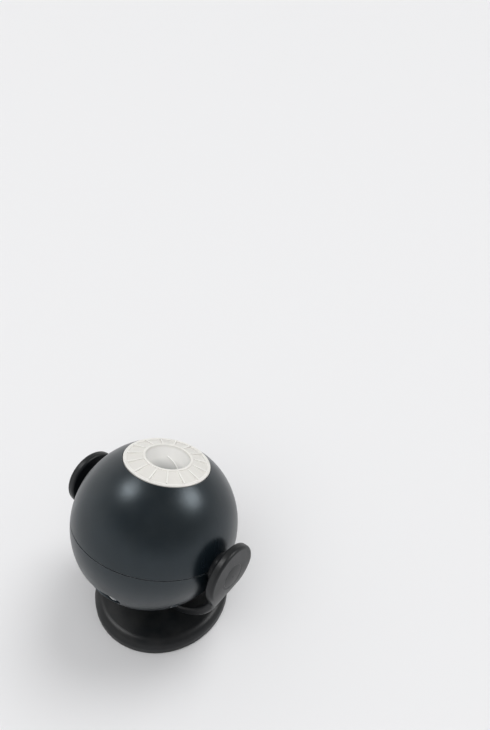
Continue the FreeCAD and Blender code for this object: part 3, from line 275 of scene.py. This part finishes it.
def make_signs(finish):
    """The usual signs on the buttons: on and off, turning, and a timer's clock."""
    circle = arc_path(2.1, 0, 360, 49)[:-1]
    signs = {
        "power_button": (-1, [sign_line(arc_path(2.0, -240, 60)), sign_line(line_path((0, 0.7), (0, 2.8)))]),
        "rotation_button": (0, [sign_line(arc_path(2.0, 100, 400)),
                                sign_line(line_path((0.75, 2.35), (1.55, 1.25), (2.7, 1.95)))]),
        "timer_button": (1, [sign_line(circle, True), sign_line(line_path((0, 1.4), (0, 0), (1.0, 0)))]),
    }
    for body, (step, lines) in signs.items():
        points, quads = stacked(lines)
        points = points + (step * BUTTON_PITCH, 0, 0)
        new_piece(body + "_sign", (points, quads), body, finish, PANEL_FRAME)


# Nodes of a material

def put(tree, kind, settings=None, **sockets):
    """Add a node, set its properties, and set or link its sockets, with _ for a space in a name."""
    node = tree.nodes.new(kind)
    for key, value in (settings or {}).items():
        setattr(node, key, value)
    for key, value in sockets.items():
        join(tree, node.inputs[key.replace("_", " ")], value)
    return node


def join(tree, socket, value):
    """Link a socket to another node's output, or set it."""
    if isinstance(value, bpy.types.NodeSocket):
        tree.links.new(value, socket)
    else:
        socket.default_value = value


def sums(tree, operation, first, second, third=None):
    """Arithmetic on two or three values."""
    node = put(tree, "ShaderNodeMath", {"operation": operation})
    for socket, value in zip(node.inputs, (first, second, third)):
        if value is not None:
            join(tree, socket, value)
    return node.outputs[0]


def blended(tree, share, first, second):
    """A colour between two others."""
    node = put(tree, "ShaderNodeMix", {"data_type": "RGBA"})
    join(tree, node.inputs[0], share)
    join(tree, node.inputs[6], first)
    join(tree, node.inputs[7], second)
    return node.outputs[2]


def stretched(tree, value, low, high, new_low=0.0, new_high=1.0):
    """A value's range low to high laid over a new range, and cut off there."""
    node = put(tree, "ShaderNodeMapRange", {"clamp": True}, Value=value, From_Min=low, From_Max=high,
               To_Min=new_low, To_Max=new_high)
    return node.outputs[0]


def colour(text):
    """The linear colour of a six-digit screen colour."""
    shares = [int(text[start:start + 2], 16) / 255 for start in (0, 2, 4)]
    return (*[s / 12.92 if s <= 0.04045 else ((s + 0.055) / 1.055) ** 2.4 for s in shares], 1.0)


def effect(name, inputs, outputs):
    """An empty node group with named inputs (kind, default) and outputs."""
    group = bpy.data.node_groups.new(name, "ShaderNodeTree")
    for key, (kind, default) in inputs.items():
        socket = group.interface.new_socket(key, in_out="INPUT", socket_type="NodeSocket" + kind)
        if default is not None:
            socket.default_value = default
    for key, kind in outputs.items():
        group.interface.new_socket(key, in_out="OUTPUT", socket_type="NodeSocket" + kind)
    return group, group.nodes.new("NodeGroupInput"), group.nodes.new("NodeGroupOutput")


def make_moulded_grain():
    """Spark-eroded mould texture: fine pits of two sizes, as a height from 0 to 1."""
    group, entry, leave = effect("moulded_grain", {"Vector": ("Vector", None), "Scale": ("Float", 1800.0)},
                                 {"Height": "Float"})
    where, scale = entry.outputs["Vector"], entry.outputs["Scale"]
    fine = put(group, "ShaderNodeTexNoise", Vector=where, Scale=scale, Detail=2.0, Roughness=0.55)
    pits = put(group, "ShaderNodeTexVoronoi", Vector=where, Scale=sums(group, "MULTIPLY", scale, 0.6))
    pit_height = stretched(group, pits.outputs["Distance"], 0.0, 0.7)
    height = sums(group, "MULTIPLY_ADD", fine.outputs[0], 0.6, sums(group, "MULTIPLY", pit_height, 0.4))
    join(group, leave.inputs["Height"], height)
    return group


def make_handling():
    """Marks of handling: broad cloudy patches and short streaks, as a mask from 0 to 1."""
    group, entry, leave = effect("handling", {"Vector": ("Vector", None), "Scale": ("Float", 22.0)},
                                 {"Mask": "Float"})
    where, scale = entry.outputs["Vector"], entry.outputs["Scale"]
    clouds = put(group, "ShaderNodeTexNoise", Vector=where, Scale=scale, Detail=5.0, Roughness=0.6,
                 Distortion=0.6)
    streaks = put(group, "ShaderNodeTexNoise", Vector=put(group, "ShaderNodeMapping", Vector=where,
                  Rotation=(0.3, 0.5, 0.9), Scale=(1.0, 9.0, 1.0)).outputs[0], Scale=scale, Detail=3.0)
    broad = stretched(group, clouds.outputs[0], 0.35, 0.7)
    thin = stretched(group, streaks.outputs[0], 0.5, 0.75)
    mask = sums(group, "MULTIPLY_ADD", thin, 0.35, sums(group, "MULTIPLY", broad, 0.65))
    join(group, leave.inputs["Mask"], mask)
    return group


def make_settled_dust():
    """Fine dust on what faces up, thicker in flecks, as a mask from 0 to 1."""
    group, entry, leave = effect("settled_dust", {"Vector": ("Vector", None), "Amount": ("Float", 0.3)},
                                 {"Mask": "Float"})
    where = entry.outputs["Vector"]
    facing = put(group, "ShaderNodeSeparateXYZ", Vector=put(group, "ShaderNodeNewGeometry").outputs["Normal"])
    upward = stretched(group, facing.outputs["Z"], 0.2, 1.0)
    film = put(group, "ShaderNodeTexNoise", Vector=where, Scale=60.0, Detail=4.0).outputs[0]
    flecks = put(group, "ShaderNodeTexVoronoi", Vector=where, Scale=900.0).outputs["Distance"]
    cover = sums(group, "MULTIPLY_ADD", stretched(group, flecks, 0.16, 0.05), 0.6,
                 sums(group, "MULTIPLY", stretched(group, film, 0.4, 0.8), 0.5))
    thick = sums(group, "MULTIPLY", sums(group, "MULTIPLY", cover, upward), entry.outputs["Amount"])
    join(group, leave.inputs["Mask"], thick)
    return group


def make_soft_edge():
    """Edges as a mould or a cutter leaves them: a rounded normal, and a mask of the edges, which lightens
    them as rubbed wear and, on the ring, as a painted highlight.
    """
    group, entry, leave = effect("soft_edge", {"Radius": ("Float", 0.3 * MM)},
                                 {"Normal": "Vector", "Mask": "Float"})
    rounded = put(group, "ShaderNodeBevel", {"samples": 4}, Radius=entry.outputs["Radius"]).outputs[0]
    flat = put(group, "ShaderNodeNewGeometry").outputs["Normal"]
    likeness = put(group, "ShaderNodeVectorMath", {"operation": "DOT_PRODUCT"})
    join(group, likeness.inputs[0], rounded)
    join(group, likeness.inputs[1], flat)
    join(group, leave.inputs["Mask"], stretched(group, likeness.outputs["Value"], 0.99, 0.85))
    join(group, leave.inputs["Normal"], rounded)
    return group


moulded_grain = make_moulded_grain()
soft_edge = make_soft_edge()
handling = make_handling()
settled_dust = make_settled_dust()


def use(tree, group, output, **sockets):
    """One output of an effect placed in a material."""
    return put(tree, "ShaderNodeGroup", {"node_tree": group}, **sockets).outputs[output]


def ball_place(tree):
    """Coordinates in the ball's frame, from the table's."""
    straight = BALL_FRAME.inverted()
    here = put(tree, "ShaderNodeTexCoord").outputs["Object"]
    return put(tree, "ShaderNodeMapping", Vector=here, Location=straight.translation,
               Rotation=(-BALL_LEAN, 0.0, 0.0)).outputs[0]


def table_place(tree):
    """Coordinates in the table's frame."""
    return put(tree, "ShaderNodeTexCoord").outputs["Object"]


def new_material(name):
    """A material with only its main shader."""
    material = bpy.data.materials.new(name)
    material.use_nodes = True
    tree = material.node_tree
    return material, tree, tree.nodes["Principled BSDF"]


def plastic(name, where_from, light, dark, rough, grain_scale, grain_depth, dust=0.15,
            worn_and_highlight_tone="c9ccd0", rub_and_highlight=0.3, **sheen):
    """Moulded plastic: two close tones in clouds, soft edges lightened as rubbed wear and, where asked, as a
    painted highlight, dust on top and a fine grain.
    """
    material, tree, shader = new_material(name)
    where = where_from(tree)
    marks = use(tree, handling, "Mask", Vector=where)
    rounded = put(tree, "ShaderNodeGroup", {"node_tree": soft_edge}).outputs
    tone = blended(tree, marks, colour(dark), colour(light))
    # edges lightened towards the edge tone: rubbed wear, and on the white ring a painted highlight along the
    # ribs
    tone = blended(tree, sums(tree, "MULTIPLY", rounded["Mask"], rub_and_highlight), tone, colour(worn_and_highlight_tone))
    film = use(tree, settled_dust, "Mask", Vector=where, Amount=dust)
    join(tree, shader.inputs["Base Color"], blended(tree, film, tone, colour("b9b6ae")))
    polish = stretched(tree, marks, 0.0, 1.0, rough + 0.05, rough - 0.05)
    join(tree, shader.inputs["Roughness"], sums(tree, "MULTIPLY_ADD", film, 0.3, polish))
    height = use(tree, moulded_grain, "Height", Vector=where, Scale=grain_scale)
    bump = put(tree, "ShaderNodeBump", Strength=0.6, Distance=grain_depth, Height=height,
               Normal=rounded["Normal"])
    join(tree, shader.inputs["Normal"], bump.outputs[0])
    for key, value in sheen.items():
        shader.inputs[key.replace("_", " ")].default_value = value
    return material


def metal(name, where_from, light, dark, rough, stretch, scale=700.0):
    """Worked metal: fine lines along one way, two close tones, and roughness that follows them."""
    material, tree, shader = new_material(name)
    where = where_from(tree)
    along = put(tree, "ShaderNodeMapping", Vector=where, Scale=stretch).outputs[0]
    lines = put(tree, "ShaderNodeTexNoise", Vector=along, Scale=scale, Detail=4.0, Roughness=0.7).outputs[0]
    marks = use(tree, handling, "Mask", Vector=where, Scale=60.0)
    join(tree, shader.inputs["Base Color"], blended(tree, lines, colour(dark), colour(light)))
    shader.inputs["Metallic"].default_value = 1.0
    join(tree, shader.inputs["Roughness"], sums(tree, "MULTIPLY_ADD", marks, 0.15,
         sums(tree, "MULTIPLY_ADD", lines, 0.15, rough)))
    bump = put(tree, "ShaderNodeBump", Strength=0.4, Distance=0.02 * MM, Height=lines)
    join(tree, shader.inputs["Normal"], bump.outputs[0])
    return material


def casing_plastic():
    """Satin anthracite casing of the ball, its sheen a little blue."""
    return plastic("casing", ball_place, "131b21", "0d1418", 0.30, 1500.0, 0.03 * MM, dust=0.03,
                   Specular_Tint=(0.82, 0.93, 1.0, 1.0), Specular_IOR_Level=0.55)


def ring_plastic():
    """Warm white ring, its ribs and lip painted lighter than the cone between them as a highlight; the cone
    falls evenly from the axis.
    """
    cone_top = 74.65 * MM
    cone_fall = 0.279
    ribs_end = 35.8 * MM
    lip_start = 36.3 * MM
    # the near-white edge tone and the larger edge share paint a highlight along the ribs' and lip's edges
    material = plastic("ring_white", ball_place, "e5e3de", "dedcd7", 0.42, 1200.0, 0.02 * MM, dust=0.0,
                       worn_and_highlight_tone="fdfcfa", rub_and_highlight=0.5)
    tree = material.node_tree
    shader = tree.nodes["Principled BSDF"]
    tone = shader.inputs["Base Color"].links[0].from_socket
    spot = put(tree, "ShaderNodeSeparateXYZ", Vector=ball_place(tree)).outputs
    flat = put(tree, "ShaderNodeCombineXYZ", X=spot["X"], Y=spot["Y"]).outputs[0]
    radius = put(tree, "ShaderNodeVectorMath", {"operation": "LENGTH"})
    join(tree, radius.inputs[0], flat)
    below_top = sums(tree, "SUBTRACT", spot["Z"], cone_top)
    above = sums(tree, "MULTIPLY_ADD", radius.outputs["Value"], cone_fall, below_top)
    # painted highlight: the ribs, and less so the lip, stand lighter than the cone, as light on their tops
    # would make them
    raised = stretched(tree, above, 0.2 * MM, 0.8 * MM)
    on_ribs = stretched(tree, radius.outputs["Value"], lip_start, ribs_end, 0.25, 0.75)
    painted_rib_highlight = sums(tree, "MULTIPLY", raised, on_ribs)
    join(tree, shader.inputs["Base Color"], blended(tree, painted_rib_highlight, tone, colour("f6f5f1")))
    return material


def bowl_plastic():
    """White bowl round the lens, smoother than the ring, with painted shade that greys it towards its mouth.
    """
    rim_low, rim_high = 66.5 * MM, 68.5 * MM
    shade_start, shade_full = 57.0 * MM, 45.0 * MM
    material = plastic("bowl_white", ball_place, "fefdfb", "fbfaf7", 0.48, 900.0, 0.01 * MM, dust=0.0,
                       worn_and_highlight_tone="fdfcfa")
    tree = material.node_tree
    shader = tree.nodes["Principled BSDF"]
    tone = shader.inputs["Base Color"].links[0].from_socket
    height = put(tree, "ShaderNodeSeparateXYZ", Vector=ball_place(tree)).outputs["Z"]
    rim = blended(tree, stretched(tree, height, rim_low, rim_high), tone, colour("eae8e3"))
    # painted shade: the wall greyer the deeper it lies below the rim
    painted_deep_shade = blended(tree, stretched(tree, height, shade_start, shade_full), rim, colour("a2a4a3"))
    join(tree, shader.inputs["Base Color"], painted_deep_shade)
    return material


def stand_plastic():
    """Black plastic of the fork and the base."""
    return plastic("stand_black", table_place, "15181b", "0f1113", 0.38, 1400.0, 0.04 * MM, dust=0.06,
                   Specular_IOR_Level=0.35)


def inner_plastic():
    """Matt black of the inner holders."""
    return plastic("inner_black", ball_place, "1c1d1f", "141516", 0.6, 1000.0, 0.05 * MM)


def gear_plastic():
    """Natural white gear plastic."""
    return plastic("gear_white", ball_place, "e6e3da", "dcd8cd", 0.38, 700.0, 0.02 * MM)


def button_plastic():
    """Soft grey of the push buttons."""
    return plastic("button_grey", ball_place, "8d9095", "7f8287", 0.45, 1600.0, 0.03 * MM, dust=0.05)


def foot_rubber():
    """Matt rubber of the feet."""
    return plastic("foot_rubber", table_place, "26272a", "1b1c1e", 0.75, 900.0, 0.12 * MM, dust=0.3)


def mark_paint():
    """White paint of the signs on the buttons."""
    return plastic("sign_white", ball_place, "f2f2ef", "e2e2de", 0.5, 2500.0, 0.01 * MM, dust=0.0)


def plated_steel():
    """Plated steel of the screws, the motor and the contacts."""
    return metal("plated_steel", table_place, "b9bcc0", "8c9095", 0.28, (1.0, 1.0, 6.0))


def machined_brass():
    """Machined brass of the pinion."""
    return metal("machined_brass", table_place, "d8b468", "a98545", 0.25, (1.0, 1.0, 8.0))


def sink_aluminium():
    """Extruded aluminium of the heat sink."""
    return metal("sink_aluminium", ball_place, "c6c8cb", "9a9da1", 0.35, (1.0, 9.0, 1.0))


def cast_ballast():
    """Rough cast ring in the base."""
    return metal("cast_ballast", table_place, "4a4b4e", "303134", 0.6, (1.0, 1.0, 1.0), scale=400.0)


def coated_glass():
    """Lens glass with a thin coating whose tint changes in soft clouds."""
    material, tree, shader = new_material("coated_glass")
    where = ball_place(tree)
    clouds = put(tree, "ShaderNodeTexNoise", Vector=where, Scale=40.0, Detail=2.0).outputs[0]
    join(tree, shader.inputs["Base Color"], blended(tree, clouds, colour("eef6f4"), colour("f6f3fb")))
    smears = use(tree, handling, "Mask", Vector=where, Scale=80.0)
    join(tree, shader.inputs["Roughness"], sums(tree, "MULTIPLY_ADD", smears, 0.04, 0.01))
    shader.inputs["Transmission Weight"].default_value = 1.0
    shader.inputs["IOR"].default_value = 1.52
    return material


def star_film():
    """Dark film with a scatter of clear points, as any star field."""
    material, tree, shader = new_material("star_film")
    where = ball_place(tree)
    film = colour("0a0b14")
    shown = film
    for scale, size in ((420.0, 0.10), (900.0, 0.14)):
        spots = put(tree, "ShaderNodeTexVoronoi", Vector=where, Scale=scale).outputs["Distance"]
        shown = blended(tree, stretched(tree, spots, size, size * 0.5), shown, colour("f4f2e6"))
    join(tree, shader.inputs["Base Color"], shown)
    band = put(tree, "ShaderNodeTexNoise", Vector=where, Scale=120.0, Detail=6.0).outputs[0]
    join(tree, shader.inputs["Roughness"], stretched(tree, band, 0.3, 0.7, 0.12, 0.3))
    return material


def circuit_board():
    """Green board with copper tracks under its lacquer."""
    material, tree, shader = new_material("circuit_board")
    where = ball_place(tree)
    bricks = put(tree, "ShaderNodeTexBrick", Vector=where, Scale=140.0, Mortar_Size=0.03,
                 Color1=(1, 1, 1, 1), Color2=(1, 1, 1, 1), Mortar=(0, 0, 0, 1))
    tone = blended(tree, bricks.outputs["Fac"], colour("1d5a30"), colour("2f7a45"))
    join(tree, shader.inputs["Base Color"], tone)
    marks = use(tree, handling, "Mask", Vector=where)
    join(tree, shader.inputs["Roughness"], sums(tree, "MULTIPLY_ADD", marks, 0.2, 0.25))
    bump = put(tree, "ShaderNodeBump", Strength=0.5, Distance=0.05 * MM, Height=bricks.outputs["Fac"])
    join(tree, shader.inputs["Normal"], bump.outputs[0])
    return material


def lamp_phosphor():
    """Yellow phosphor of the lamp chip."""
    return plastic("lamp_phosphor", ball_place, "f0dc6a", "e3c94e", 0.2, 2000.0, 0.02 * MM, dust=0.0)


def cell_sleeve():
    """Plain sleeve of a cell: dark, with one lighter band near its end."""
    band_start, band_full = 16.5 * MM, 16.7 * MM
    material, tree, shader = new_material("cell_sleeve")
    where = ball_place(tree)
    along = put(tree, "ShaderNodeSeparateXYZ", Vector=where).outputs["X"]
    band = stretched(tree, sums(tree, "ABSOLUTE", along, 0.0), band_start, band_full)
    marks = use(tree, handling, "Mask", Vector=where, Scale=90.0)
    sleeve = blended(tree, marks, colour("25282d"), colour("33373d"))
    join(tree, shader.inputs["Base Color"], blended(tree, band, sleeve, colour("b8893f")))
    shader.inputs["Metallic"].default_value = 0.7
    join(tree, shader.inputs["Roughness"], sums(tree, "MULTIPLY_ADD", marks, 0.2, 0.22))
    return material


FINISHES = (
    (casing_plastic, ("upper_shell", "lower_shell", "battery_cover")),
    (ring_plastic, ("focus_ring",)),
    (bowl_plastic, ("lens_hood",)),
    (stand_plastic, ("yoke", "base_housing", "base_plate", "pivot_cap_left", "pivot_cap_right",
                     "button_panel", "pivot_hub_left", "pivot_hub_right")),
    (inner_plastic, ("lens_barrel", "lens_mount", "lens_clamp_ring", "chassis_plate", "condenser_holder",
                     "battery_tray", "focus_ring_clip", "motor_bracket", "friction_washer_left",
                     "friction_washer_right", "tact_switches")),
    (gear_plastic, ("turntable_gear", "idler_gear", "disc_clip_ring")),
    (button_plastic, ("power_button", "rotation_button", "timer_button")),
    (foot_rubber, ("rubber_feet",)),
    (plated_steel, ("shell_screws", "chassis_screws", "battery_cover_screw", "base_screws", "yoke_screws",
                    "pivot_screws", "drive_motor", "idler_axle", "battery_contacts")),
    (machined_brass, ("motor_pinion",)),
    (sink_aluminium, ("heat_sink",)),
    (cast_ballast, ("ballast_ring",)),
    (coated_glass, ("front_lens", "rear_lens", "condenser_lens")),
    (star_film, ("star_disc",)),
    (circuit_board, ("led_board", "control_board")),
    (lamp_phosphor, ("led_chip",)),
    (cell_sleeve, ("battery_cells",)),
)


def dress_parts():
    """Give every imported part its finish; return the finishes by the function that makes them."""
    made = {}
    for finish, names in FINISHES:
        made[finish] = finish()
        for name in names:
            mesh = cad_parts[name].data
            for index in range(len(mesh.materials)):
                mesh.materials[index] = made[finish]
    return made


# Camera, light and floor

def make_camera():
    """The photograph's view: from the front right, 36 degrees down, ball low on the left."""
    spot = (0.2706, -0.2344, 0.5419)
    data = bpy.data.cameras.new("camera")
    camera = bpy.data.objects.new("camera", data)
    bpy.context.scene.collection.objects.link(camera)
    data.lens = 29.15
    data.sensor_width = 36.0
    right = Vector((0.79038, 0.61208, 0.02549))
    above = Vector((-0.37690, 0.45305, 0.80789))
    back = Vector((0.48295, -0.64815, 0.58878))
    camera.matrix_world = Matrix.Translation(spot) @ Matrix((right, above, back)).transposed().to_4x4()
    bpy.context.scene.camera = camera


def make_sun(name, towards, strength, width, glossy):
    """A soft distant lamp that gives either highlights or plain light. towards points to the lamp."""
    data = bpy.data.lights.new(name, "SUN")
    data.energy = strength
    data.angle = math.radians(width)
    lamp = bpy.data.objects.new(name, data)
    lamp.rotation_mode = "QUATERNION"
    lamp.rotation_quaternion = Vector(towards).to_track_quat("Z", "Y")
    lamp.visible_glossy = glossy
    lamp.visible_diffuse = not glossy
    bpy.context.scene.collection.objects.link(lamp)


def make_surroundings():
    """A white room to the eye, dimmer overhead and to the right in reflections, and plain soft light."""
    dimmest = (0.3, 0.0, 0.954)
    world = bpy.data.worlds.new("room")
    bpy.context.scene.world = world
    world.use_nodes = True
    tree = world.node_tree
    tree.nodes.clear()
    rays = put(tree, "ShaderNodeLightPath")
    seen = sums(tree, "MAXIMUM", rays.outputs["Is Camera Ray"], sums(tree, "MAXIMUM",
                rays.outputs["Is Glossy Ray"], rays.outputs["Is Transmission Ray"]))
    direction = put(tree, "ShaderNodeTexCoord").outputs["Generated"]
    overhead = put(tree, "ShaderNodeVectorMath", {"operation": "DOT_PRODUCT"})
    join(tree, overhead.inputs[0], direction)
    join(tree, overhead.inputs[1], dimmest)
    ceiling = stretched(tree, overhead.outputs["Value"], 0.05, 0.6, 1.0, 0.22)
    soft = put(tree, "ShaderNodeBackground", Color=(1, 1, 1, 1), Strength=0.5)
    shown = sums(tree, "MAXIMUM", rays.outputs["Is Camera Ray"], ceiling)
    room = put(tree, "ShaderNodeBackground", Color=(1, 1, 1, 1), Strength=shown)
    both = put(tree, "ShaderNodeMixShader", Fac=seen)
    tree.links.new(soft.outputs[0], both.inputs[1])
    tree.links.new(room.outputs[0], both.inputs[2])
    tree.links.new(both.outputs[0], put(tree, "ShaderNodeOutputWorld").inputs[0])


def make_floor():
    """A wide pale floor that keeps the object's shadow."""
    reach = 9.0
    points = [(x, y, 0.0) for y in (-reach, reach) for x in (-reach, reach)]
    mesh = bpy.data.meshes.new("floor")
    mesh.from_pydata(points, [], [[0, 1, 3, 2]])
    material, tree, shader = new_material("floor")
    shader.inputs["Base Color"].default_value = (0.83, 0.83, 0.84, 1)
    shader.inputs["Roughness"].default_value = 0.9
    shader.inputs["Specular IOR Level"].default_value = 0.1
    mesh.materials.append(material)
    floor = bpy.data.objects.new("floor", mesh)
    bpy.context.scene.collection.objects.link(floor)


def set_up_scene():
    """Camera, lamps, room and floor."""
    make_camera()
    make_sun("left_sheen", (-0.44, -0.215, 0.872), 0.9, 20, True)
    make_sun("right_sheen", (0.545, 0.527, 0.652), 1.15, 24, True)
    make_sun("top_light", (0.15, 0.45, 0.88), 1.0, 30, False)
    make_sun("front_light", (0.2, -0.5, 0.84), 1.0, 60, False)
    make_surroundings()
    make_floor()
    bpy.context.scene.view_settings.view_transform = "Standard"


set_up_scene()
finishes = dress_parts()
make_bowl_rail(finishes[bowl_plastic])
make_screws(finishes[plated_steel])
make_ridged_feet(finishes[foot_rubber])
make_signs(mark_paint())
